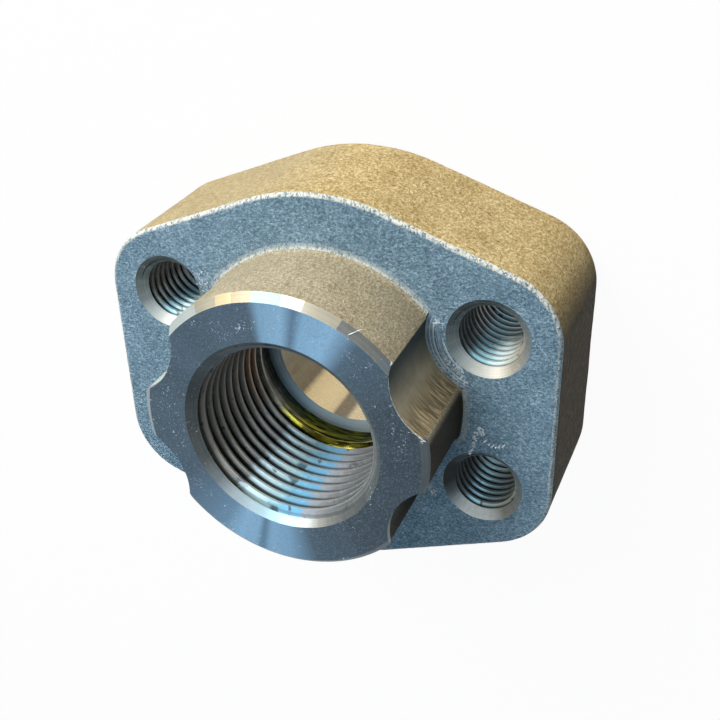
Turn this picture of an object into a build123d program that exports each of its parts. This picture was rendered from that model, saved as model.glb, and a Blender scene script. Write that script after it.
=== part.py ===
from build123d import *
import os
from math import radians, tan

os.makedirs("parts", exist_ok=True)

# SAE counter flange: one steel forging, machined on the mating face, the hub end, the port and the bolt holes.
# Millimetres. The origin is the centre of the flat mating face, +Z runs along the port towards its threaded
# mouth, +X is the long side of the bolt rectangle and +Y the short side.

# Bolt rectangle of the 6000 psi series, size 25 (1 inch), with M12 threads cut through the flange
bolt_spacing_x = 57.15
bolt_spacing_y = 27.76
bolt_tap_radius = 5.1
bolt_mouth_radius = 6.8
bolt_exit_radius = 6.1

# Forged flange outline, measured at the mating face, and its thickness
flange_thickness = 25.0
corner_centre_x = 28.1
corner_centre_y = 13.75
corner_radius = 12.7
lobe_radius = 35.4
draft_angle = 1.65
front_edge_radius = 0.7
back_edge_break = 0.3

# Forged hub with its turned end
overall_height = 42.0
hub_radius = 25.0
hub_foot_radius = 0.9
hub_chamfer_width = 1.4
hub_chamfer_depth = 1.0

# Clearances for the bolts in the side of the hub
scallop_radius = 10.6
scallop_corner_radius = 1.5
cutter_radius = 9.6

# Port: G 1 thread at its minor diameter, run-out groove, shoulder and through bore
port_mouth_radius = 17.0
port_minor_radius = 15.145
port_thread_depth = 26.0
port_groove_radius = 16.65
port_groove_width = 3.6
bore_radius = 14.0
bore_edge_break = 0.3

# Heights that follow from the sizes above
hub_height = overall_height - flange_thickness
port_mouth_bottom = overall_height - (port_mouth_radius - port_minor_radius)
port_thread_bottom = overall_height - port_thread_depth
port_shoulder = port_thread_bottom - port_groove_width
port_groove_slope = port_groove_radius - port_minor_radius
bolt_mouth_depth = bolt_mouth_radius - bolt_tap_radius
bolt_exit_depth = bolt_exit_radius - bolt_tap_radius
scallop_foot_radius = scallop_radius - hub_height * tan(radians(draft_angle))
bolt_x = bolt_spacing_x / 2
bolt_y = bolt_spacing_y / 2
foot_reach = hub_radius + hub_foot_radius
reach = 2 * hub_radius

with BuildPart() as counter_flange:
    # Flange body: four corner arcs and two lobes joined by straight flanks, drafted towards the hub
    with BuildSketch(Plane.XY):
        Circle(lobe_radius)
        with GridLocations(2 * corner_centre_x, 2 * corner_centre_y, 2, 2):
            Circle(corner_radius)
        make_hull()
    extrude(amount=flange_thickness)
    sides = counter_flange.faces().filter_by(Axis.Z, reverse=True)
    draft(sides, neutral_plane=Plane.XY, angle=draft_angle)
    front_rim = counter_flange.edges().filter_by_position(Axis.Z, flange_thickness, flange_thickness)
    fillet(front_rim, radius=front_edge_radius)
    back_rim = counter_flange.edges().filter_by_position(Axis.Z, 0, 0)
    chamfer(back_rim, length=back_edge_break)

    # Hub
    with BuildSketch(Plane.XY.offset(flange_thickness)):
        Circle(hub_radius)
    extrude(amount=hub_height)

    # Three forged clearances for the bolts, drafted like the flange
    with Locations(
        (bolt_x, -bolt_y, flange_thickness),
        (-bolt_x, bolt_y, flange_thickness),
        (-bolt_x, -bolt_y, flange_thickness),
    ):
        Cone(
            bottom_radius=scallop_foot_radius,
            top_radius=scallop_radius,
            height=hub_height,
            align=(Align.CENTER, Align.CENTER, Align.MIN),
            mode=Mode.SUBTRACT,
        )
    scallop_corners = counter_flange.edges().filter_by(
        lambda edge: edge.bounding_box().size.Z > 0.9 * hub_height
        and (edge.center().X < 0 or edge.center().Y < 0)
    )
    fillet(scallop_corners, radius=scallop_corner_radius)

    # Small radius all round the foot of the hub
    foot = counter_flange.edges().filter_by_position(Axis.Z, flange_thickness, flange_thickness)
    foot_centre = Vector(0, 0, flange_thickness)
    hub_foot = foot.filter_by(lambda edge: (edge.center() - foot_centre).length < foot_reach)
    fillet(hub_foot, radius=hub_foot_radius)

    # The fourth clearance, at +X +Y, cut into the forging with a milling cutter, so its corners are sharp
    with Locations((bolt_x, bolt_y, flange_thickness)):
        Cylinder(
            radius=cutter_radius,
            height=hub_height,
            align=(Align.CENTER, Align.CENTER, Align.MIN),
            mode=Mode.SUBTRACT,
        )

    # Turned chamfer on the end of the hub
    with BuildSketch(Plane.XZ):
        with BuildLine():
            Polyline(
                (hub_radius - hub_chamfer_width, overall_height),
                (hub_radius, overall_height - hub_chamfer_depth),
                (reach, overall_height - hub_chamfer_depth),
                (reach, overall_height + hub_chamfer_depth),
                (hub_radius - hub_chamfer_width, overall_height + hub_chamfer_depth),
                close=True,
            )
        make_face()
    revolve(axis=Axis.Z, mode=Mode.SUBTRACT)

    # Port and through bore, turned in one profile from the mating face to the mouth
    with BuildSketch(Plane.XZ):
        with BuildLine():
            Polyline(
                (0, 0),
                (bore_radius + bore_edge_break, 0),
                (bore_radius, bore_edge_break),
                (bore_radius, port_shoulder),
                (port_groove_radius, port_shoulder),
                (port_groove_radius, port_thread_bottom),
                (port_minor_radius, port_thread_bottom + port_groove_slope),
                (port_minor_radius, port_mouth_bottom),
                (port_mouth_radius, overall_height),
                (0, overall_height),
                close=True,
            )
        make_face()
    revolve(axis=Axis.Z, mode=Mode.SUBTRACT)

    # Tapped bolt holes with their countersinks on both sides
    with BuildSketch(Plane.XY):
        with GridLocations(bolt_spacing_x, bolt_spacing_y, 2, 2):
            Circle(bolt_tap_radius)
    extrude(amount=flange_thickness, mode=Mode.SUBTRACT)
    for x in (-bolt_x, bolt_x):
        for y in (-bolt_y, bolt_y):
            with Locations((x, y, flange_thickness)):
                Cone(
                    bottom_radius=bolt_tap_radius,
                    top_radius=bolt_mouth_radius,
                    height=bolt_mouth_depth,
                    align=(Align.CENTER, Align.CENTER, Align.MAX),
                    mode=Mode.SUBTRACT,
                )
            with Locations((x, y, 0)):
                Cone(
                    bottom_radius=bolt_exit_radius,
                    top_radius=bolt_tap_radius,
                    height=bolt_exit_depth,
                    align=(Align.CENTER, Align.CENTER, Align.MIN),
                    mode=Mode.SUBTRACT,
                )

counter_flange.part.label = "counter_flange"
export_step(counter_flange.part, "parts/counter_flange.step")
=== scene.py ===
from math import acos, atan2, cos, hypot, pi, radians, sin, sqrt, tan

import bmesh
import bpy
from mathutils import Matrix, Vector, noise


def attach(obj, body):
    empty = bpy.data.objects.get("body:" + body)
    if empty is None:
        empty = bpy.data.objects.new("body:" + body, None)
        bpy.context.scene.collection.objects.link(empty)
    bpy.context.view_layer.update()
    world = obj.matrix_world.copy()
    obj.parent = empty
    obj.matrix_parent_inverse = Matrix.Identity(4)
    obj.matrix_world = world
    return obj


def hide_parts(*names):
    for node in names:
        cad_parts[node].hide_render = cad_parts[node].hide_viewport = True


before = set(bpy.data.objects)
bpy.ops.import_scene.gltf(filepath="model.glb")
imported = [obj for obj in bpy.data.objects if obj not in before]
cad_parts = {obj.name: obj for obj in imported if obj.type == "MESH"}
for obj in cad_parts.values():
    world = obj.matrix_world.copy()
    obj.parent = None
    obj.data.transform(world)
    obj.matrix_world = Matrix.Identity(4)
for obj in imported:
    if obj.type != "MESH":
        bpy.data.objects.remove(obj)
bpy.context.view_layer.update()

# Forged body and hub
# One drop forging in carbon steel: a flange with draft towards the hub, and a hub with four clearances for the
# bolts. Its skin stays as the forge and the shot blast left it; the ends, the port and the holes are turned.
MM = 0.001
RAYS = 720
THICKNESS = 25.0
HEIGHT = 42.0
DRAFT = tan(radians(1.65))
CORNER = (28.1, 13.75)
CORNER_RADIUS = 12.7
LOBE_RADIUS = 35.4
RIM_RADIUS = 0.7
EDGE_BREAK = 0.3
BOLT = (57.15 / 2, 27.76 / 2)
HUB_RADIUS = 25.0
HUB_SHIFT = 0.7
HUB_FOOT_RADIUS = 0.9
FOOT_LINE = 0.45
SCALLOP_RADIUS = 10.6
SCALLOP_CORNER = 1.5
CUTTER_RADIUS = 10.1
LAND = 0.8
CHAMFER_WIDTH = 1.4
DRILL_RADIUS = 5.1
CHAMFER_DEPTH = 1.0
MOUTH_RADIUS = 17.0
PORT_MINOR = 15.145
GROOVE_RADIUS = 16.65
THREAD_END = 16.0
SHOULDER = 12.4
BORE_RADIUS = 14.0


def flange_reach(angle, inset):
    """Distance from the port's axis to the flange outline, which is moved inwards by inset."""
    cx, cy = CORNER
    corner, lobe = CORNER_RADIUS - inset, LOBE_RADIUS - inset
    x, y = abs(cos(angle)), abs(sin(angle))
    folded = atan2(y, x)
    flank = atan2(cy, cx) + acos((lobe - corner) / hypot(cx, cy))
    if folded < atan2(cy, cx + corner):
        return (cx + corner) / x
    if folded < atan2(cy + corner * sin(flank), cx + corner * cos(flank)):
        along = x * cx + y * cy
        return along + sqrt(along ** 2 - cx ** 2 - cy ** 2 + corner ** 2)
    if folded < flank:
        return lobe / cos(folded - flank)
    return lobe


def hub_reach(angle, height, offset=0.0):
    """Distance from the port's axis to the side of the hub, which is moved outwards by offset."""
    cut = cos(angle) > 0 and sin(angle) > 0
    if cut:
        scallop, corner = CUTTER_RADIUS, LAND if tan(angle) < BOLT[1] / BOLT[0] else 0.0
    else:
        scallop = SCALLOP_RADIUS - (HEIGHT - height) * DRAFT - offset
        corner = SCALLOP_CORNER
    forged = HUB_RADIUS - HUB_SHIFT * (1 - sin(angle)) / 2
    hub = forged + offset
    x, y = abs(cos(angle)), abs(sin(angle))
    bolt = hypot(*BOLT)
    turn = abs(atan2(y, x) - atan2(BOLT[1], BOLT[0]))
    inner, outer = forged - corner, (scallop if cut else scallop + offset) + corner
    middle = acos((inner ** 2 + bolt ** 2 - outer ** 2) / (2 * inner * bolt))
    if turn > middle:
        return hub
    if corner:
        # centre of the rounded corner, and where it meets the scallop
        px, py = inner * cos(middle), inner * sin(middle)
        tx = px + (bolt - px) * corner / outer
        ty = py - py * corner / outer
        if turn > atan2(ty, tx):
            along = px * cos(turn) + py * sin(turn)
            return along + sqrt(max(along ** 2 - inner ** 2 + (corner + offset) ** 2, 0.0))
    along = bolt * cos(turn)
    return min(hub, along - sqrt(max(along ** 2 - bolt ** 2 + scallop ** 2, 0.0)))


def skin(angle, reach, height, depth):
    """How far the forge left the skin short at a point, up to about depth."""
    spot = Vector((reach * cos(angle), reach * sin(angle), height))
    waves = 0.5 + 0.5 * noise.noise(spot / 7.0) + 0.25 * noise.noise(spot / 1.6)
    return depth * min(max(waves, 0.0), 1.3)


def mating_face(share):
    def place(angle):
        outer = flange_reach(angle, EDGE_BREAK)
        inner = BORE_RADIUS + EDGE_BREAK
        return inner + (outer - inner) * share, 0.0
    return place


def flange_side(height):
    def place(angle):
        reach = flange_reach(angle, height * DRAFT)
        return reach - skin(angle, reach, height, 0.10), height
    return place


def front_rim(turn):
    def place(angle):
        inset = THICKNESS * DRAFT + RIM_RADIUS * (1 - cos(turn))
        reach = flange_reach(angle, inset)
        height = THICKNESS - RIM_RADIUS * (1 - sin(turn))
        ragged = skin(angle, reach, height * 3, 0.10)
        spot = Vector((reach * cos(angle), reach * sin(angle), height)) / 0.55
        ragged += 0.10 * max(noise.noise(spot), 0.0)
        return reach - ragged * cos(turn), height - 0.6 * ragged * sin(turn)
    return place


def front_face(share):
    def place(angle):
        inner = hub_reach(angle, THICKNESS, HUB_FOOT_RADIUS) + FOOT_LINE
        outer = flange_reach(angle, THICKNESS * DRAFT + RIM_RADIUS)
        reach = inner + (outer - inner) * share
        return reach, THICKNESS - skin(angle, reach, THICKNESS, 0.05)
    return place


def hub_foot(turn):
    def place(angle):
        offset = HUB_FOOT_RADIUS * (1 - sin(turn))
        reach = hub_reach(angle, THICKNESS, offset)
        return reach, THICKNESS + HUB_FOOT_RADIUS * (1 - cos(turn))
    return place


def hub_side(height):
    def place(angle):
        reach = hub_reach(angle, height)
        turned_to = HUB_RADIUS - CHAMFER_WIDTH * max(height - HEIGHT + CHAMFER_DEPTH, 0.0) / CHAMFER_DEPTH
        milled = cos(angle) > 0 and sin(angle) > 0 and reach < HUB_RADIUS - HUB_SHIFT
        if height < HEIGHT - CHAMFER_DEPTH and not milled:
            reach -= skin(angle, reach, height, 0.05)
        return min(reach, turned_to), height
    return place


def hub_end(share):
    def place(angle):
        outer = min(hub_reach(angle, HEIGHT), HUB_RADIUS - CHAMFER_WIDTH)
        return MOUTH_RADIUS + (outer - MOUTH_RADIUS) * share, HEIGHT
    return place


def turned(reach, height):
    return lambda angle: (reach, height)


def rows(count):
    return [(step + 1) / count for step in range(count)]


MATING, SIDE, RIM, FRONT, HUB, MILLED, CHAMFER, END, THREAD, OILY, SEAT, BORE, SINK, BOLT_THREAD, FOOT, GRAZED, MOUTH = range(17)
rings = [(MATING, mating_face(share)) for share in rows(3)]
rings += [(SIDE, flange_side(EDGE_BREAK + (THICKNESS - RIM_RADIUS - EDGE_BREAK) * share)) for share in [0] + rows(16)]
rings += [(RIM, front_rim(pi / 2 * share)) for share in rows(6)]
rings += [(FRONT, front_face(1 - share)) for share in rows(10)]
rings += [(FOOT, hub_foot(pi / 2 * share)) for share in (0, 0.2, 0.4)]
rings += [(HUB, hub_foot(pi / 2 * share)) for share in (0.6, 0.8, 1)]
rings += [(HUB, hub_side(THICKNESS + HUB_FOOT_RADIUS + 15.1 * share)) for share in rows(10)]
rings += [(CHAMFER, hub_side(HEIGHT - CHAMFER_DEPTH * (1 - share))) for share in rows(5)]
rings += [(END, hub_end(1 - share)) for share in rows(4)]
rings += [(MOUTH, turned(PORT_MINOR, HEIGHT - MOUTH_RADIUS + PORT_MINOR))]
rings += [(THREAD, turned(PORT_MINOR, THREAD_END + 4.0))]
rings += [(OILY, turned(PORT_MINOR, THREAD_END + GROOVE_RADIUS - PORT_MINOR))]
rings += [(OILY, turned(GROOVE_RADIUS, THREAD_END)), (OILY, turned(GROOVE_RADIUS, SHOULDER))]
rings += [(SEAT, turned(BORE_RADIUS, SHOULDER)), (BORE, turned(BORE_RADIUS, EDGE_BREAK))]

forging = bmesh.new()
bmesh.ops.create_circle(forging, radius=(BORE_RADIUS + EDGE_BREAK) * MM, segments=RAYS)
ring = start_ring = forging.edges[:]
for finish, place in rings:
    drawn = bmesh.ops.extrude_edge_only(forging, edges=ring)["geom"]
    points = {piece for piece in drawn if isinstance(piece, bmesh.types.BMVert)}
    for point in points:
        angle = atan2(point.co.y, point.co.x)
        reach, height = place(angle)
        point.co = Vector((reach * cos(angle), reach * sin(angle), height)) * MM
    for face in (piece for piece in drawn if isinstance(piece, bmesh.types.BMFace)):
        x, y, z = face.calc_center_median() / MM
        milled = z > THICKNESS + 0.02 and hypot(x - BOLT[0], y - BOLT[1]) < CUTTER_RADIUS + 0.03 and finish != END
        face.material_index = MILLED if milled else finish
    ring = [
        edge for edge in drawn
        if isinstance(edge, bmesh.types.BMEdge) and edge.verts[0] in points and edge.verts[1] in points
    ]
for face in bmesh.ops.bridge_loops(forging, edges=start_ring + ring)["faces"]:
    face.material_index = BORE
bmesh.ops.recalc_face_normals(forging, faces=forging.faces)
body_mesh = bpy.data.meshes.new("forging")
forging.to_mesh(body_mesh)
forging.free()
body = bpy.data.objects.new("forged_body", body_mesh)
bpy.context.collection.objects.link(body)


def paint(red, green, blue):
    """A colour as seen on screen, for a socket."""
    return [((part / 255 + 0.055) / 1.055) ** 2.4 if part > 10 else part / 3294 for part in (red, green, blue)] + [1]


def node(tree, kind, inputs=None, **settings):
    """Adds a node. An input is a value or the output of another node."""
    made = tree.nodes.new("ShaderNode" + kind)
    for key, value in settings.items():
        setattr(made, key, value)
    for key, value in (inputs or {}).items():
        if isinstance(value, bpy.types.NodeSocket):
            tree.links.new(value, made.inputs[key])
        else:
            made.inputs[key].default_value = value
    return made


def tones(tree, factor, stops):
    """Colours along a factor, as places and screen colours."""
    ramp = node(tree, "ValToRGB", {"Fac": factor})
    elements = ramp.color_ramp.elements
    elements.remove(elements[1])
    for place, colour in stops[1:]:
        elements.new(place).color = paint(*colour)
    elements[0].position = stops[0][0]
    elements[0].color = paint(*stops[0][1])
    return ramp.outputs["Color"]


def values(tree, factor, low, high, start=0.3, end=0.7):
    """A factor mapped to a range of plain values."""
    return node(tree, "MapRange", {
        "Value": factor, "From Min": start, "From Max": end, "To Min": low, "To Max": high,
    }).outputs["Result"]


def speckle(tree, place, size, detail=4.0, rough=0.6, distortion=0.0):
    """Noise with features of a size in millimetres."""
    return node(tree, "TexNoise", {
        "Vector": place, "Scale": 1 / (size * MM), "Detail": detail, "Roughness": rough, "Distortion": distortion,
    }).outputs["Fac"]


def combine(tree, first, second, share):
    """A share of the second factor laid over the first."""
    mixed = node(tree, "Mix", {"Factor": share}, data_type="FLOAT")
    tree.links.new(first, mixed.inputs["A"])
    tree.links.new(second, mixed.inputs["B"])
    return mixed.outputs["Result"]


def steel(name, metallic):
    """A new finish, with its tree, its shader and the object's own coordinates."""
    made = bpy.data.materials.new(name)
    made.use_nodes = True
    shader = made.node_tree.nodes["Principled BSDF"]
    shader.inputs["Metallic"].default_value = metallic
    place = node(made.node_tree, "TexCoord").outputs["Object"]
    return made, made.node_tree, shader, place


def relief(tree, shader, height, depth, strength=1.0):
    """A bump of a depth in millimetres."""
    raised = node(tree, "Bump", {"Height": height, "Distance": depth * MM, "Strength": strength})
    tree.links.new(raised.outputs["Normal"], shader.inputs["Normal"])


def swap(tree, factor, first, second):
    """One colour where the factor is 0 and another where it is 1."""
    mixed = node(tree, "Mix", {"Factor": factor}, data_type="RGBA")
    for key, colour in (("A", first), ("B", second)):
        socket = [found for found in mixed.inputs if found.name == key and found.type == "RGBA"][0]
        if isinstance(colour, bpy.types.NodeSocket):
            tree.links.new(colour, socket)
        else:
            socket.default_value = paint(*colour)
    return [found for found in mixed.outputs if found.type == "RGBA"][0]


def multiply(tree, first, second):
    """Two factors multiplied."""
    return node(tree, "Math", {0: first, 1: second}, operation="MULTIPLY").outputs["Value"]


def stretch(tree, place, amounts):
    """Coordinates stretched along the object's axes."""
    return node(tree, "VectorMath", {0: place, 1: amounts}, operation="MULTIPLY").outputs["Vector"]


def by_angle(tree, flat, stops, change):
    """Tints round the axis, as angles in degrees and screen colours."""
    parts = node(tree, "SeparateXYZ", {"Vector": flat})
    turn = node(tree, "Math", {0: parts.outputs["Y"], 1: parts.outputs["X"]}, operation="ARCTAN2")
    ramp = node(tree, "ValToRGB", {"Fac": values(tree, turn.outputs["Value"], 0.0, 1.0, -pi, pi)})
    ramp.color_ramp.interpolation = change
    ramp.color_ramp.elements.remove(ramp.color_ramp.elements[1])
    for step, (start, tint) in enumerate(stops):
        element = ramp.color_ramp.elements.new((start + 180) / 360) if step else ramp.color_ramp.elements[0]
        element.position = (start + 180) / 360
        element.color = paint(*tint)
    return ramp.outputs["Color"]


def forged_skin(name, stops, metallic, rough, grain=0.5, depth=0.10, pit=None, bright=None, shine=0.3):
    """Blasted forging skin: an even grain, broad clouds, dark pits, and bright blasted flakes that are painted as
    highlights only where the surface faces the light.
    """
    made, tree, shader, place = steel(name, metallic)
    shader.inputs["Specular IOR Level"].default_value = shine
    fine = speckle(tree, stretch(tree, place, (1.0, 1.4, 0.8)), grain, 3.0, 0.6, 0.5)
    micro = speckle(tree, place, grain * 0.4, 2.0, 0.7)
    broad = speckle(tree, place, 6.0, 2.0)
    shade = combine(tree, combine(tree, fine, micro, 0.35), broad, 0.12)
    colour = tones(tree, shade, stops)
    if pit:
        dashes = speckle(tree, stretch(tree, place, (0.6, 0.9, 2.2)), 1.0, 2.0, 0.6, 0.8)
        colour = swap(tree, values(tree, dashes, 0.9, 0.0, 0.29, 0.35), colour, pit)
    if bright:
        flakes = speckle(tree, stretch(tree, place, (1.5, 0.7, 1.0)), 0.6, 3.0, 0.75, 0.8)
        # painted highlight: the bright flakes show only where the surface faces the light
        painted_highlight_facing = node(tree, "VectorMath", {
            0: node(tree, "NewGeometry").outputs["Normal"], 1: (0.05, 0.85, 0.50),
        }, operation="DOT_PRODUCT").outputs["Value"]
        share = multiply(tree, values(tree, flakes, 0.0, 1.0, 0.42, 0.52), values(tree, painted_highlight_facing, 0.0, 1.0, 0.35, 0.80))
        colour = swap(tree, share, colour, bright)
    tree.links.new(colour, shader.inputs["Base Color"])
    tree.links.new(values(tree, fine, rough - 0.1, rough + 0.1), shader.inputs["Roughness"])
    relief(tree, shader, combine(tree, fine, micro, 0.3), depth)
    return made, tree, shader, place, colour


def turned_steel(name, stops, rough, pitch=0.22, depth=0.012, streaks=0.35, about_bolts=False, segments=None,
                 specks=0.0, spread=0.0, chatter=0.0, metallic=1.0, painted_light_tints=None, torn=False):
    """Turned steel: fine rings about an axis, soft streaks across them, and scuffs, with painted reflections in sectors
    and painted light round the axis where these are given.
    """
    made, tree, shader, place = steel(name, metallic)
    flat = stretch(tree, place, (1, 1, 0))
    if about_bolts:
        corner = node(tree, "VectorMath", {0: flat}, operation="SIGN").outputs["Vector"]
        centre = stretch(tree, corner, (BOLT[0] * MM, BOLT[1] * MM, 0))
        flat = node(tree, "VectorMath", {0: flat, 1: centre}, operation="SUBTRACT").outputs["Vector"]
    reach = node(tree, "VectorMath", {0: flat}, operation="LENGTH").outputs["Value"]
    height = node(tree, "SeparateXYZ", {"Vector": place}).outputs["Z"]
    along = node(tree, "Math", {0: reach, 1: height}, operation="ADD").outputs["Value"]
    rings = node(tree, "TexNoise", {
        "W": along, "Scale": 1 / (pitch * MM), "Detail": 3.0, "Roughness": 0.7,
    }, noise_dimensions="1D").outputs["Fac"]
    around = node(tree, "VectorMath", {0: flat}, operation="NORMALIZE").outputs["Vector"]
    streak = node(tree, "TexNoise", {"Vector": around, "Scale": 2.6, "Detail": 3.0, "Roughness": 0.6}).outputs["Fac"]
    worn = speckle(tree, place, 1.4, 5.0, 0.7)
    shade = combine(tree, combine(tree, rings, streak, streaks), worn, 0.2)
    if chatter:
        jumps = node(tree, "TexNoise", {"Vector": around, "Scale": 34.0, "Detail": 2.0, "Roughness": 0.7})
        shade = combine(tree, shade, jumps.outputs["Fac"], chatter)
    colour = tones(tree, shade, stops)
    if segments:
        colour = swap(tree, 0.8, colour, by_angle(tree, flat, segments, "CONSTANT"))
    if painted_light_tints:
        colour = swap(tree, 0.75, colour, by_angle(tree, flat, painted_light_tints, "LINEAR"))
    if specks:
        spots = values(tree, speckle(tree, place, 0.45, 2.0, 0.6, 1.0), 0.0, 1.0, 0.64, 0.70)
        where = values(tree, speckle(tree, place, 4.0, 2.0), 0.0, specks, 0.50, 0.60)
        colour = swap(tree, multiply(tree, spots, where), colour, (214, 222, 226))
    if torn:
        flakes = values(tree, speckle(tree, place, 0.55, 4.0, 0.75, 1.0), 0.0, 1.0, 0.50, 0.58)
        where = by_angle(tree, flat, [
            (-180, (40, 40, 40)), (-160, (110, 110, 110)), (-140, (255, 255, 255)), (-105, (255, 255, 255)),
            (-80, (60, 60, 60)), (160, (40, 40, 40)), (180, (40, 40, 40)),
        ], "LINEAR")
        colour = swap(tree, multiply(tree, flakes, where), colour, (222, 234, 240))
        rings = combine(tree, rings, flakes, 0.5)
    tree.links.new(colour, shader.inputs["Base Color"])
    tree.links.new(values(tree, combine(tree, rings, worn, 0.5), rough - 0.06, rough + 0.08), shader.inputs["Roughness"])
    if spread:
        shader.inputs["Anisotropic"].default_value = spread
        tree.links.new(around, shader.inputs["Tangent"])
    relief(tree, shader, rings, depth)
    return made, tree, shader, reach, colour, flat


def thread_steel(name, rough, crest, root, painted_light_by_angle, mouth, about_bolts=False, drips=None, rust=None):
    """Cut thread: smooth flanks with painted light round the axis, bright on one side and dark on the other, with
    stains laid over it, a painted highlight on the crests and painted shade down in the roots.
    """
    made, tree, shader, reach, colour, flat = turned_steel(name, [(0.4, (90, 96, 98)), (0.6, (170, 178, 180))],
                                                           rough, 0.8, 0.003, 0.6, about_bolts)
    shader.inputs["Metallic"].default_value = 0.12
    place = tree.nodes["Texture Coordinate"].outputs["Object"]
    noisy = node(tree, "TexNoise", {"Vector": stretch(tree, place, (1, 1, 1.3)), "Scale": 620.0, "Detail": 1.0})
    wander = node(tree, "VectorMath", {0: noisy.outputs["Color"], 1: (0.5, 0.5, 0.5)}, operation="SUBTRACT")
    wander = stretch(tree, wander.outputs["Vector"], (0.22 * crest * MM, 0.22 * crest * MM, 0))
    shifted = node(tree, "VectorMath", {0: flat, 1: wander}).outputs["Vector"]
    # painted light round the axis, with rust, drips and blots laid over it
    stain_and_painted_light = by_angle(tree, shifted, painted_light_by_angle, "LINEAR")
    height = node(tree, "SeparateXYZ", {"Vector": place}).outputs["Z"]
    if rust:
        low, high = rust
        where = multiply(tree, values(tree, height, 0.0, 1.0, (low - 1.5) * MM, low * MM),
                         values(tree, height, 1.0, 0.0, (high - 0.5) * MM, (high + 1.5) * MM))
        side = by_angle(tree, flat, [
            (-180, (255, 255, 255)), (-165, (230, 230, 230)), (-146, (0, 0, 0)), (110, (0, 0, 0)), (150, (255, 255, 255)),
        ], "LINEAR")
        stain_and_painted_light = swap(tree, multiply(tree, where, side), stain_and_painted_light, (152, 98, 46))
    if drips:
        around = node(tree, "VectorMath", {0: shifted}, operation="NORMALIZE").outputs["Vector"]
        way = (cos(radians(drips)), sin(radians(drips)), 0)
        line = node(tree, "VectorMath", {0: around, 1: way}, operation="DOT_PRODUCT").outputs["Value"]
        gaps = node(tree, "TexNoise", {"W": height, "Scale": 480.0, "Detail": 1.0}, noise_dimensions="1D").outputs["Fac"]
        wet = multiply(tree, values(tree, line, 0.0, 0.85, cos(radians(3.4)), cos(radians(1.4))),
                       values(tree, gaps, 0.0, 1.0, 0.46, 0.56))
        stain_and_painted_light = swap(tree, wet, stain_and_painted_light, (44, 84, 104))
    blots = values(tree, speckle(tree, stretch(tree, place, (1, 1, 0.7)), 1.9, 1.0, 0.5), 0.75, 0.0, 0.28, 0.33)
    stain_and_painted_light = swap(tree, blots, swap(tree, 0.85, colour, stain_and_painted_light), (62, 72, 78))
    # painted highlight on the crests, and painted shade down in the roots, less of it near the open end
    depth = root - crest
    edge = values(tree, reach, 0.4, 0.0, (crest + 0.02 * depth) * MM, (crest + 0.10 * depth) * MM)
    lit = swap(tree, edge, stain_and_painted_light, (186, 186, 180))
    painted_root_shade = values(tree, reach, 0.0, 0.9, (crest + 0.40 * depth) * MM, (crest + 0.58 * depth) * MM)
    open_end = values(tree, height, 1.0, 0.15, (mouth - 3.2) * MM, (mouth - 1.6) * MM)
    tree.links.new(swap(tree, multiply(tree, painted_root_shade, open_end), lit, (26, 26, 24)), shader.inputs["Base Color"])
    return made


side_skin, tree, shader, place, colour = forged_skin("scaled_side", [
    (0.38, (146, 122, 78)), (0.47, (183, 160, 110)), (0.53, (201, 181, 133)), (0.62, (232, 216, 172)),
], 0.04, 0.6, 0.5, 0.4, pit=(92, 70, 36), shine=0.04)
# painted shade: the flange's side is painted dark where it faces +X, away from the key lamp, and painted duller where
# it faces -X, where the lamp falls strongest
facing = node(tree, "NewGeometry").outputs["Normal"]
east = node(tree, "VectorMath", {0: facing, 1: (0.95, -0.30, 0.0)}, operation="DOT_PRODUCT").outputs["Value"]
painted_shade_east = tones(tree, speckle(tree, place, 1.2, 4.0, 0.7), [(0.40, (32, 27, 18)), (0.50, (44, 38, 26)), (0.62, (66, 60, 44))])
west = node(tree, "VectorMath", {0: facing, 1: (-1.0, 0.0, 0.0)}, operation="DOT_PRODUCT").outputs["Value"]
dull_and_painted_shade = swap(tree, values(tree, west, 0.0, 0.55, -0.05, 0.50), colour, (152, 146, 126))
tree.links.new(swap(tree, values(tree, east, 0.0, 0.96, 0.56, 0.92), dull_and_painted_shade, painted_shade_east), shader.inputs["Base Color"])

hub_skin, tree, shader, place, colour = forged_skin("blasted_hub", [
    (0.38, (140, 130, 106)), (0.47, (170, 160, 134)), (0.53, (186, 176, 150)), (0.62, (212, 204, 182)),
], 0.10, 0.5, 0.45, 0.4, shine=0.08)
flat = stretch(tree, place, (1, 1, 0))
# painted shade: the hub's skin is painted dark on its lower right side, down by the lower right clearance
shaded = by_angle(tree, flat, [
    (-180, (0, 0, 0)), (-100, (120, 120, 120)), (-60, (248, 248, 248)), (8, (245, 245, 245)), (10, (150, 150, 150)),
    (14, (120, 120, 120)), (32, (90, 90, 90)), (38, (40, 40, 40)), (54, (0, 0, 0)), (180, (0, 0, 0)),
], "LINEAR")
# painted glint: a pale cyan patch high on the hub's side by the upper left clearance
painted_glint = by_angle(tree, flat, [
    (-180, (0, 0, 0)), (156, (0, 0, 0)), (161, (255, 255, 255)), (168, (255, 255, 255)), (171, (0, 0, 0)),
], "LINEAR")
height = node(tree, "SeparateXYZ", {"Vector": place}).outputs["Z"]
painted_glint = multiply(tree, painted_glint, values(tree, height, 0.0, 0.9, (HEIGHT - 8) * MM, (HEIGHT - 3) * MM))
colour = swap(tree, painted_glint, swap(tree, shaded, colour, (22, 24, 22)), (188, 212, 214))
tree.links.new(colour, shader.inputs["Base Color"])

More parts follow.
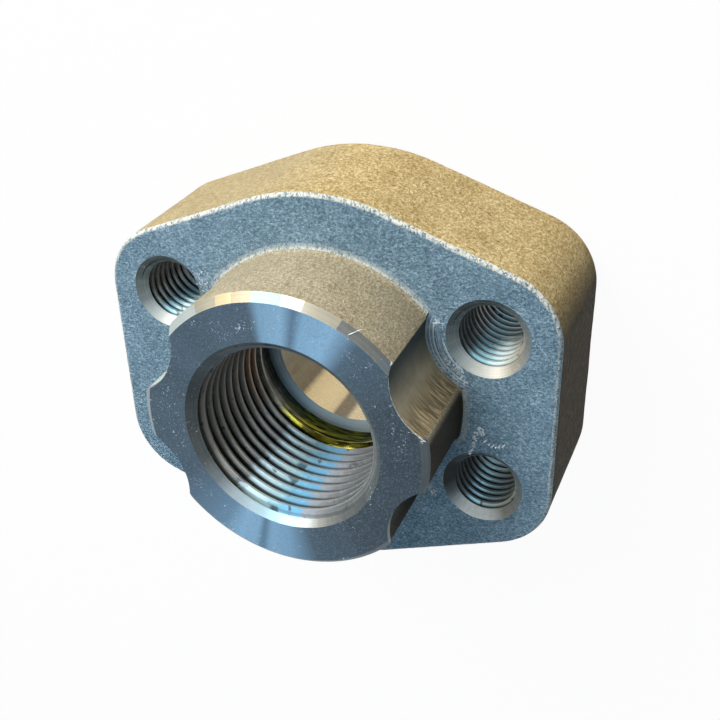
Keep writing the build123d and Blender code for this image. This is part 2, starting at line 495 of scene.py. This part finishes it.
# marks of the milling cutter run round the clearance, and its far end was torn a little
milled_steel, tree, shader, place = steel("milled_clearance", 0.3)
shader.inputs["Specular IOR Level"].default_value = 0.2
marks = speckle(tree, stretch(tree, place, (0.15, 0.15, 1.5)), 0.5, 3.0, 0.65)
broad = speckle(tree, place, 3.0, 2.0)
flat = node(tree, "VectorMath", {0: stretch(tree, place, (1, 1, 0)), 1: (BOLT[0] * MM, BOLT[1] * MM, 0)}, operation="SUBTRACT")
# painted light and shade round the clearance: dark at its top, where it lies in shade, with a painted highlight across
# its middle
tint = by_angle(tree, flat.outputs["Vector"], [
    (-180, (76, 80, 78)), (-168, (130, 126, 112)), (-150, (186, 176, 150)), (-136, (164, 150, 122)), (-112, (140, 128, 102)),
    (100, (36, 46, 56)), (158, (38, 50, 60)), (174, (52, 60, 66)), (180, (76, 80, 78)),
], "LINEAR")
# torn flakes and scored lines at the far end of the clearance; the torn flakes are real marks, painted bright as glints
torn_end = by_angle(tree, flat.outputs["Vector"], [
    (-180, (60, 60, 60)), (-148, (80, 80, 80)), (-132, (230, 230, 230)), (-100, (230, 230, 230)), (100, (60, 60, 60)),
], "LINEAR")
torn = multiply(tree, values(tree, marks, 0.0, 0.9, 0.50, 0.64), torn_end)
scored = multiply(tree, values(tree, marks, 0.8, 0.0, 0.36, 0.48), torn_end)
cloudy = swap(tree, values(tree, broad, 0.25, 0.0), tint, (60, 60, 56))
colour = swap(tree, scored, swap(tree, torn, cloudy, (236, 214, 168)), (62, 54, 40))
tree.links.new(colour, shader.inputs["Base Color"])
tree.links.new(values(tree, marks, 0.35, 0.5), shader.inputs["Roughness"])
relief(tree, shader, marks, 0.04)

turned_end, tree, shader, reach, colour, flat = turned_steel("turned_end", [
    (0.38, (84, 94, 100)), (0.47, (104, 118, 128)), (0.53, (116, 134, 146)), (0.62, (150, 170, 182)),
], 0.32, 0.12, 0.004, 0.4, specks=1.0, spread=0.4)
# painted reflection: bright radial streaks on the turned end towards the top and bottom, and darker sides, fixed round
# the axis
streaks = by_angle(tree, flat, [
    (-180, (84, 94, 100)), (-148, (88, 100, 110)), (-134, (112, 138, 156)), (-121, (130, 164, 188)),
    (-113, (172, 214, 240)), (-105, (168, 210, 236)), (-102, (104, 136, 160)), (-98, (166, 208, 234)),
    (-88, (154, 194, 222)), (-76, (82, 94, 102)), (-40, (66, 70, 70)), (30, (68, 73, 74)),
    (54, (90, 108, 120)), (64, (174, 216, 244)), (76, (166, 210, 238)), (80, (104, 134, 158)), (85, (172, 214, 240)),
    (95, (160, 202, 228)), (99, (88, 102, 112)), (140, (86, 98, 106)), (180, (84, 94, 100)),
], "LINEAR")
place = tree.nodes["Texture Coordinate"].outputs["Object"]
spots = values(tree, speckle(tree, place, 0.45, 2.0, 0.6, 1.0), 0.0, 1.0, 0.64, 0.70)
spots = multiply(tree, spots, values(tree, speckle(tree, place, 4.0, 2.0), 0.0, 1.0, 0.48, 0.58))
dull_and_painted_shade = values(tree, speckle(tree, place, 0.32, 3.0, 0.7), 0.0, 0.6, 0.50, 0.70)
wear_and_painted_reflection = swap(tree, dull_and_painted_shade, swap(tree, 0.72, colour, streaks), (136, 148, 160))
tree.links.new(swap(tree, spots, wear_and_painted_reflection, (220, 228, 232)), shader.inputs["Base Color"])

oily_steel, tree, shader, reach, colour, flat = turned_steel("oily_thread", [
    (0.40, (64, 60, 50)), (0.50, (104, 100, 90)), (0.60, (150, 148, 138)),
], 0.16)
place = tree.nodes["Texture Coordinate"].outputs["Object"]
around = node(tree, "VectorMath", {0: stretch(tree, place, (1, 1, 0))}, operation="NORMALIZE").outputs["Vector"]
pool = node(tree, "VectorMath", {0: around, 1: (cos(radians(-94)), sin(radians(-94)), 0)}, operation="DOT_PRODUCT")
wet = combine(tree, pool.outputs["Value"], speckle(tree, place, 3.0), 0.25)
wet = values(tree, wet, 0.0, 1.0, 0.62, 0.80)
drops = values(tree, speckle(tree, stretch(tree, place, (0.3, 0.6, 1.5)), 1.0, 1.0, 0.5), 0.0, 1.0, 0.42, 0.62)
oil = swap(tree, drops, (60, 56, 24), (150, 142, 44))
tree.links.new(swap(tree, wet, colour, oil), shader.inputs["Base Color"])
tree.links.new(values(tree, wet, 0.3, 0.06, 0.0, 1.0), shader.inputs["Roughness"])

# painted light and shade round each countersink: lighter towards the lower side, darker towards the upper side
countersink_steel, tree, shader, reach, colour, flat = turned_steel("countersink_steel", [
    (0.40, (96, 108, 114)), (0.50, (150, 158, 158)), (0.60, (222, 224, 216)),
], 0.45, 0.3, 0.02, about_bolts=True, specks=0.8, chatter=0.3, metallic=0.2, painted_light_tints=[
    (-180, (96, 112, 118)), (-155, (116, 132, 140)), (-132, (176, 192, 198)), (-98, (206, 210, 204)),
    (-72, (190, 184, 168)), (-46, (150, 144, 130)), (-20, (118, 122, 118)), (20, (92, 104, 110)),
    (70, (60, 72, 78)), (130, (60, 74, 82)), (180, (96, 112, 118)),
])
place = tree.nodes["Texture Coordinate"].outputs["Object"]
# painted shadow of the hub on the countersink of the lower right hole, and a painted highlight on the lower edge of
# that countersink
from_hub = node(tree, "VectorMath", {0: place, 1: (0.0219, -0.0125, 0.025)}, operation="DISTANCE").outputs["Value"]
painted_hub_shadow = values(tree, from_hub, 0.85, 0.0, 0.0025, 0.0055)
from_low = node(tree, "VectorMath", {0: place, 1: (0.0276, -0.0200, 0.0245)}, operation="DISTANCE").outputs["Value"]
painted_low_highlight = multiply(tree, values(tree, from_low, 0.9, 0.0, 0.0022, 0.0048), values(tree, speckle(tree, place, 0.6, 3.0), 0.7, 1.0, 0.4, 0.6))
colour = swap(tree, painted_low_highlight, swap(tree, painted_hub_shadow, colour, (44, 44, 40)), (244, 252, 255))
tree.links.new(colour, shader.inputs["Base Color"])

finishes = [
    turned_steel("mating_steel", [
        (0.36, (118, 124, 126)), (0.50, (156, 162, 164)), (0.64, (190, 194, 194)),
    ], 0.32, 0.5, 0.012, specks=0.6)[0],
    side_skin,
    forged_skin("trimmed_rim", [
        (0.40, (70, 92, 106)), (0.50, (122, 150, 164)), (0.60, (190, 208, 214)),
    ], 0.2, 0.5, 0.4, 0.6, bright=(244, 244, 236))[0],
    forged_skin("blasted_front", [
        (0.40, (90, 120, 140)), (0.47, (122, 155, 176)), (0.53, (141, 174, 195)), (0.60, (188, 216, 233)),
    ], 0.26, 0.5, 0.43, 1.0)[0],
    hub_skin,
    milled_steel,
    # painted reflections: sectors of gold, blue and white round the turned chamfer
    turned_steel("chamfer_painted_reflections", [
        (0.40, (140, 148, 150)), (0.50, (176, 182, 182)), (0.60, (212, 214, 208)),
    ], 0.38, 0.3, 0.006, segments=[
        (-180, (104, 116, 124)), (-118, (130, 140, 146)), (-104, (110, 146, 172)), (-88, (92, 104, 112)),
        (44, (100, 102, 98)), (62, (172, 164, 142)), (76, (222, 218, 204)), (85, (112, 158, 194)),
        (97, (152, 132, 94)), (105, (198, 170, 118)), (112, (156, 148, 122)), (121, (176, 186, 182)),
        (146, (110, 122, 128)),
    ], specks=0.6, metallic=0.35)[0],
    turned_end,
    # painted light round the port thread: bright cyan flanks towards the lower side, darker on the right
    thread_steel("port_thread_steel", 0.24, PORT_MINOR, 16.6, [
        (-180, (144, 136, 124)), (-160, (150, 144, 134)), (-138, (124, 122, 114)), (-128, (104, 108, 106)),
        (-121, (206, 238, 250)), (-110, (210, 244, 252)), (-101, (176, 234, 253)), (-95, (134, 214, 253)),
        (-84, (130, 206, 250)), (-80, (178, 190, 202)), (-70, (148, 150, 154)), (-58, (106, 112, 112)),
        (-40, (96, 100, 98)), (60, (96, 98, 96)), (110, (108, 102, 92)), (150, (128, 116, 102)),
        (180, (144, 136, 124)),
    ], HEIGHT, drips=-101, rust=(17.5, 23.5)),
    oily_steel,
    # painted light: the shoulder's pale tones and tints round the axis, brightest towards the lower side and in shade
    # on the others
    turned_steel("shoulder_steel", [
        (0.42, (160, 208, 232)), (0.50, (214, 240, 250)), (0.58, (252, 254, 255)),
    ], 0.35, 0.7, 0.01, metallic=0.0, painted_light_tints=[
        (-180, (70, 80, 84)), (-158, (88, 100, 106)), (-140, (140, 168, 186)), (-126, (186, 222, 242)),
        (-112, (236, 250, 255)), (-84, (240, 252, 255)), (-40, (170, 196, 210)), (60, (90, 102, 108)), (180, (70, 80, 84)),
    ])[0],
    # painted reflections and shade round the bore: bright golden bands with dark gaps between them, dark on the left
    # side
    turned_steel("bore_steel", [
        (0.42, (156, 138, 98)), (0.50, (204, 186, 142)), (0.58, (240, 226, 190)),
    ], 0.24, 0.12, 0.002, 0.5, metallic=0.7, painted_light_tints=[
        (-180, (44, 42, 34)), (-158, (54, 50, 40)), (-155, (96, 88, 68)), (-152, (64, 56, 42)),
        (-135, (74, 62, 44)), (-130, (240, 214, 160)), (-112, (252, 226, 172)), (-107, (248, 222, 170)),
        (-104, (116, 104, 88)), (-95, (122, 110, 92)), (-91, (254, 232, 184)), (-50, (236, 212, 162)),
        (40, (110, 98, 76)), (180, (44, 42, 34)),
    ])[0],
    countersink_steel,
    # painted light round the bolt threads: bright towards the lower side, dark towards the upper left
    thread_steel("bolt_thread_steel", 0.24, DRILL_RADIUS, 6.0, [
        (-180, (58, 56, 54)), (-150, (76, 80, 80)), (-132, (100, 132, 146)), (-120, (150, 216, 242)),
        (-100, (176, 236, 252)), (-84, (214, 244, 250)), (-60, (214, 222, 212)), (-30, (180, 170, 148)),
        (20, (116, 116, 110)), (80, (76, 80, 80)), (140, (56, 56, 54)), (180, (58, 56, 54)),
    ], THICKNESS + 0.6, about_bolts=True),
    forged_skin("hub_foot_line", [
        (0.40, (96, 120, 134)), (0.50, (126, 148, 160)), (0.60, (164, 182, 190)),
    ], 0.28, 0.5, 0.4, 0.5, bright=(226, 232, 230))[0],
    turned_steel("grazed_face", [
        (0.40, (80, 104, 122)), (0.50, (124, 152, 172)), (0.60, (212, 228, 238)),
    ], 0.38, 0.4, 0.05, 0.2, about_bolts=True, specks=1.0, metallic=0.2, torn=True)[0],
    # painted light round the mouth's chamfer: bright and cyan towards the lower side, dark on the right
    turned_steel("mouth_chamfer", [
        (0.40, (120, 128, 130)), (0.50, (160, 168, 170)), (0.60, (206, 210, 206)),
    ], 0.36, 0.3, 0.006, painted_light_tints=[
        (-180, (66, 72, 74)), (-152, (78, 84, 86)), (-138, (118, 132, 140)), (-126, (180, 200, 210)),
        (-114, (184, 216, 232)), (-102, (168, 212, 232)), (-95, (140, 204, 238)), (-84, (126, 194, 232)),
        (-78, (160, 172, 170)), (-68, (122, 120, 110)), (-56, (76, 76, 70)), (-40, (36, 38, 38)), (20, (36, 40, 42)), (60, (70, 78, 82)), (84, (120, 140, 152)),
        (104, (96, 108, 114)), (150, (70, 76, 78)), (180, (66, 72, 74)),
    ], specks=1.0, chatter=0.15, metallic=0.25)[0],
]
for finish in finishes:
    body_mesh.materials.append(finish)

# Tapped bolt holes
# Four M12 holes drilled through the flange, countersunk on both sides and tapped. A drill and a tap are drawn as
# solids and taken out of the forging, as the machine does. The cutter that cleared one hole grazed the face.
TAP_PITCH = 1.75
COUNTERSINK = 6.8
BACK_COUNTERSINK = 6.1
GRAZE = -0.12
GRAZE_RADIUS = CUTTER_RADIUS - 0.1
GRAZE_TILT = radians(-1.2)


def turned_solid(profile, finishes_along, centre, steps):
    """A solid turned from radius and height pairs in millimetres, with a finish for each stretch of the profile."""
    shape = bmesh.new()
    points = [shape.verts.new((reach * MM, 0, height * MM)) for reach, height in profile]
    edges = [shape.edges.new(pair) for pair in zip(points, points[1:])]
    bmesh.ops.spin(
        shape, geom=points + edges, cent=(0, 0, 0), axis=(0, 0, 1), dvec=(0, 0, 0), angle=2 * pi, steps=steps,
        use_merge=True, use_duplicate=False,
    )
    bmesh.ops.remove_doubles(shape, verts=shape.verts, dist=1e-7)
    bmesh.ops.recalc_face_normals(shape, faces=shape.faces)
    for face in shape.faces:
        middle = face.calc_center_median().z / MM
        for (_, top), (_, bottom), finish in zip(profile, profile[1:], finishes_along):
            if bottom - 1e-6 <= middle <= top + 1e-6:
                face.material_index = finish
    bmesh.ops.translate(shape, verts=shape.verts, vec=Vector((centre[0], centre[1], 0)) * MM)
    return shape


def thread_solid(profile, pitch, top, bottom, centre, steps, finish_at):
    """A right-handed helical groove: a profile of radius and height pairs, wound from top to bottom."""
    shape = bmesh.new()
    points = [shape.verts.new((reach * MM, 0, (top + height) * MM)) for reach, height in profile]
    face = shape.faces.new(points)
    count = int(round((top - bottom) / pitch * steps))
    bmesh.ops.spin(
        shape, geom=points + face.edges[:] + [face], cent=(0, 0, 0), axis=(0, 0, 1),
        dvec=(0, 0, -pitch * MM / steps), angle=-2 * pi * count / steps, steps=count,
        use_merge=False, use_duplicate=False,
    )
    bmesh.ops.recalc_face_normals(shape, faces=shape.faces)
    for face in shape.faces:
        face.material_index = finish_at(face.calc_center_median().z / MM)
    bmesh.ops.translate(shape, verts=shape.verts, vec=Vector((centre[0], centre[1], 0)) * MM)
    return shape


def take_out(shape):
    """Takes a solid out of the forging."""
    mesh = bpy.data.meshes.new("tool")
    shape.to_mesh(mesh)
    shape.free()
    for finish in finishes:
        mesh.materials.append(finish)
    tool = bpy.data.objects.new("tool", mesh)
    bpy.context.collection.objects.link(tool)
    cut = body.modifiers.new("cut", "BOOLEAN")
    cut.operation = "DIFFERENCE"
    cut.solver = "MANIFOLD"
    cut.material_mode = "INDEX"
    cut.object = tool
    left = bpy.data.meshes.new_from_object(body.evaluated_get(bpy.context.evaluated_depsgraph_get()))
    body.modifiers.clear()
    old, body.data = body.data, left
    bpy.data.meshes.remove(old)
    bpy.data.objects.remove(tool)
    bpy.data.meshes.remove(mesh)


cutter = turned_solid(
    [(0, THICKNESS + 2), (GRAZE_RADIUS, THICKNESS + 2), (GRAZE_RADIUS, THICKNESS - GRAZE), (0, THICKNESS - GRAZE)],
    [GRAZED, GRAZED, GRAZED], BOLT, 96,
)
tilt = Matrix.Rotation(GRAZE_TILT, 3, Vector((-BOLT[1], BOLT[0], 0)))
bmesh.ops.rotate(cutter, verts=cutter.verts, cent=Vector((BOLT[0], BOLT[1], THICKNESS - GRAZE)) * MM, matrix=tilt)
take_out(cutter)
drill = [
    (0, THICKNESS + 2), (COUNTERSINK + 2, THICKNESS + 2), (DRILL_RADIUS, THICKNESS + DRILL_RADIUS - COUNTERSINK),
    (DRILL_RADIUS, BACK_COUNTERSINK - DRILL_RADIUS), (BACK_COUNTERSINK + 2, -2), (0, -2),
]
tap = [(4.8, 0.64), (5.08, 0.64), (6.0, 0.12), (6.0, -0.12), (5.08, -0.64), (4.8, -0.64)]
for side_x in (-1, 1):
    for side_y in (-1, 1):
        centre = (side_x * BOLT[0], side_y * BOLT[1])
        take_out(turned_solid(drill, [SINK, SINK, BOLT_THREAD, SINK, SINK], centre, 64))
        take_out(thread_solid(tap, TAP_PITCH, THICKNESS + 2, -2, centre, 48, lambda z: BOLT_THREAD))

# Port thread
# G 1 thread of the port, cut with a tap from the mouth down to the run-out groove, where a little oil is left.
PORT_PITCH = 2.309
port_tap = [
    (14.7, 0.97), (15.12, 0.97), (16.42, 0.30), (16.60, 0.12),
    (16.60, -0.12), (16.42, -0.30), (15.12, -0.97), (14.7, -0.97),
]
take_out(thread_solid(
    port_tap, PORT_PITCH, HEIGHT + 1.2, THREAD_END - 1.0, (0, 0), 96,
    lambda z: THREAD if z > THREAD_END + 4.0 else OILY,
))

body.data.shade_smooth()
body.data.set_sharp_from_angle(angle=radians(28))
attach(body, "root")
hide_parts("counter_flange")

# Scuffs and chips
# Burrs, chips and scratches that handling left on the steel: slivers of bare metal that lie on the surface.
bare_steel, tree, shader, place = steel("bare_steel", 0.0)
shine = speckle(tree, place, 0.25, 2.0, 0.7)
tree.links.new(tones(tree, shine, [(0.38, (172, 186, 194)), (0.50, (216, 224, 228)), (0.62, (246, 250, 252))]),
               shader.inputs["Base Color"])
tree.links.new(values(tree, shine, 0.3, 0.5), shader.inputs["Roughness"])
relief(tree, shader, shine, 0.05)

slivers = bmesh.new()


def sliver(x, y, z, angle, length, width):
    """A pointed sliver of metal, half sunk in the surface, at a place in millimetres."""
    made = bmesh.ops.create_cone(
        slivers, cap_ends=True, cap_tris=True, segments=5, radius1=width / 2 * MM, radius2=width / 8 * MM,
        depth=length * MM,
    )["verts"]
    lay = Matrix.Rotation(radians(angle), 3, "Z") @ Matrix.Rotation(pi / 2, 3, "Y") @ Matrix.Diagonal((0.6, 1, 1))
    bmesh.ops.transform(slivers, verts=made, matrix=lay.to_4x4())
    bmesh.ops.translate(slivers, verts=made, vec=Vector((x, y, z)) * MM)


def scatter(x, y, z, count, spread_x, spread_y, length, width, seed):
    """A cluster of slivers round a place."""
    for step in range(count):
        spot = Vector((step * 3.7, seed * 11.3, 0.5))
        shift_x, shift_y, turn = noise.noise_vector(spot) * 2.2
        size = 0.6 + 0.8 * abs(noise.noise(spot + Vector((0, 0, 4.1))))
        sliver(x + shift_x * spread_x, y + shift_y * spread_y, z, turn * 180, length * size, width * size)


# scuff between two bolt holes, a row of short nicks beside it, and a scuff by the lower hole
scuff = [(26.2, -7.6), (26.7, -6.3), (27.3, -5.0), (27.0, -4.2), (27.5, -3.0), (28.1, -2.4), (28.6, -3.1), (28.2, -3.9)]
for (x0, y0), (x1, y1) in zip(scuff, scuff[1:]):
    for share in (0.1, 0.6):
        x, y = x0 + (x1 - x0) * share, y0 + (y1 - y0) * share
        scatter(x, y, THICKNESS + 0.04, 3, 0.34, 0.26, 0.55, 0.36, x * 5 + y)
for x, y, lean, length in (
    (28.9, -4.6, 50, 0.9), (29.5, -5.1, 64, 0.5), (30.15, -5.3, 58, 0.8), (30.7, -5.5, 20, 0.45),
    (31.2, -5.2, 75, 0.6), (31.9, -4.9, 60, 0.9),
):
    sliver(x, y, THICKNESS + 0.05, lean, length, 0.42)
scatter(20.2, -17.0, THICKNESS + 0.02, 16, 0.9, 0.8, 0.5, 0.28, 31)
# rubbed patch between a bolt hole and the hub
scatter(-21.2, 17.3, THICKNESS + 0.04, 34, 1.2, 1.4, 0.5, 0.22, 91)
# chips round the countersink that the cutter grazed, and a burr along the milled edge of the end
for step in range(9):
    turn = radians(200 + 48 * step / 8 + 4 * sin(step * 2.4))
    reach = 8.4 + 0.8 * sin(step * 1.9)
    scatter(BOLT[0] + reach * cos(turn), BOLT[1] + reach * sin(turn), THICKNESS - 0.06, 2, 0.15, 0.15, 0.3, 0.24, 70 + step)
scatter(19.1, 9.4, THICKNESS, 5, 0.5, 0.5, 0.6, 0.3, 47)
scatter(20.7, 15.9, THICKNESS, 6, 0.5, 0.4, 0.7, 0.3, 53)
for angle in range(178, 243, 2):
    turn = radians(angle + 0.8 * sin(angle * 1.7))
    reach = CUTTER_RADIUS + 0.04 * sin(angle * 2.3)
    width = 0.09 + 0.09 * max((angle - 205) / 38, 0.0)
    sliver(BOLT[0] + reach * cos(turn), BOLT[1] + reach * sin(turn), HEIGHT - 0.06, angle + 90, 0.8, width)
scatter(23.6, 4.8, HEIGHT - 0.12, 6, 0.25, 0.3, 0.35, 0.2, 59)
# frayed edge of the mouth
for step in range(22):
    turn = radians(-86 + 2.4 * step + 1.2 * sin(step * 2.1))
    reach = MOUTH_RADIUS + 0.12 + 0.22 * abs(sin(step * 1.3))
    sliver(reach * cos(turn), reach * sin(turn), HEIGHT - 0.05, -86 + 2.4 * step + 90 + 30 * sin(step * 3.1), 0.45, 0.14)
# scratch over the turned chamfer, and a chip at its corner
for step in range(7):
    share = step / 6
    sliver(11.9 + 2.0 * share, 20.2 + 0.9 * share, HEIGHT - 0.18 - 0.75 * share * share, 24, 0.8, 0.15)
scatter(18.7, 16.6, HEIGHT - 0.75, 6, 0.2, 0.4, 0.4, 0.2, 61)
slivers_mesh = bpy.data.meshes.new("scuffs")
bmesh.ops.recalc_face_normals(slivers, faces=slivers.faces)
slivers.to_mesh(slivers_mesh)
slivers.free()
slivers_mesh.materials.append(bare_steel)
scuffs = bpy.data.objects.new("scuffs", slivers_mesh)
bpy.context.collection.objects.link(scuffs)
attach(scuffs, "root")

# Studio
# A pale floor, soft lamps and a camera at the photo's viewing angle.
floor_shape = bmesh.new()
bmesh.ops.create_grid(floor_shape, x_segments=1, y_segments=1, size=3.0)
floor_mesh = bpy.data.meshes.new("floor")
floor_shape.to_mesh(floor_mesh)
floor_shape.free()
floor = bpy.data.objects.new("floor", floor_mesh)
bpy.context.collection.objects.link(floor)
floor_finish = bpy.data.materials.new("pale_floor")
floor_finish.use_nodes = True
tree = floor_finish.node_tree
floor_shader = tree.nodes["Principled BSDF"]
floor_shader.inputs["Base Color"].default_value = (0.74, 0.74, 0.74, 1)
floor_shader.inputs["Roughness"].default_value = 0.9
rays = node(tree, "LightPath")
seen = node(tree, "Math", {0: rays.outputs["Is Camera Ray"], 1: rays.outputs["Is Glossy Ray"]}, operation="MAXIMUM")
seen = node(tree, "Math", {0: seen.outputs[0], 1: rays.outputs["Is Transmission Ray"]}, operation="MAXIMUM")
share = node(tree, "Math", {0: seen.outputs[0], 1: 0.95}, operation="MULTIPLY")
white = node(tree, "Emission", {"Color": (1, 1, 1, 1), "Strength": 1.0})
both = node(tree, "MixShader", {0: share.outputs[0], 1: floor_shader.outputs[0], 2: white.outputs[0]})
tree.links.new(both.outputs[0], tree.nodes["Material Output"].inputs["Surface"])
floor_mesh.materials.append(floor_finish)

world = bpy.data.worlds.new("studio")
bpy.context.scene.world = world
world.use_nodes = True
tree = world.node_tree
across = node(tree, "SeparateXYZ", {"Vector": node(tree, "TexCoord").outputs["Generated"]}).outputs["X"]
tree.nodes["Background"].inputs["Color"].default_value = (0.80, 0.89, 1.0, 1)
tree.links.new(values(tree, across, 0.42, 0.10, -0.7, 0.5), tree.nodes["Background"].inputs["Strength"])


def lamp(name, place, size, power, colour):
    """A soft rectangular lamp that faces the object."""
    data = bpy.data.lights.new(name, "AREA")
    data.shape = "RECTANGLE"
    data.size, data.size_y = size
    data.energy = power
    data.color = colour
    light = bpy.data.objects.new(name, data)
    light.location = place
    light.rotation_euler = (Vector((0, 0, 0.02)) - Vector(place)).to_track_quat("-Z", "Y").to_euler()
    bpy.context.collection.objects.link(light)


lamp("key_lamp", (-0.29, 0.42, 0.40), (0.26, 0.26), 3.8, (1.0, 0.98, 0.95))
lamp("gold_card", (0.0, 0.60, 0.14), (0.7, 0.22), 1.3, (1.0, 0.86, 0.64))
lamp("sky_card", (-0.30, -0.40, 0.56), (0.45, 0.45), 0.42, (0.74, 0.88, 1.0))
lamp("overhead_lamp", (0.04, 0.06, 0.62), (0.28, 0.28), 0.92, (0.80, 0.93, 1.0))

camera_data = bpy.data.cameras.new("camera")
camera_data.sensor_width = 36.0
camera_data.lens = 986.354 / 720 * 36.0
camera_data.shift_x = (360 - 320) / 720
camera_data.shift_y = (350 - 360) / 720
camera_data.clip_start = 0.01
camera = bpy.data.objects.new("camera", camera_data)
camera.matrix_world = Matrix((
    (0.9164535880, -0.1519796217, 0.3701553938, 0.0613338926),
    (-0.0457376835, 0.8792121324, 0.4742299975, 0.0857134358),
    (-0.3975184087, -0.4515398330, 0.7988059176, 0.1572223097),
    (0, 0, 0, 1),
))
bpy.context.collection.objects.link(camera)
bpy.context.scene.camera = camera
bpy.context.scene.view_settings.view_transform = "Standard"
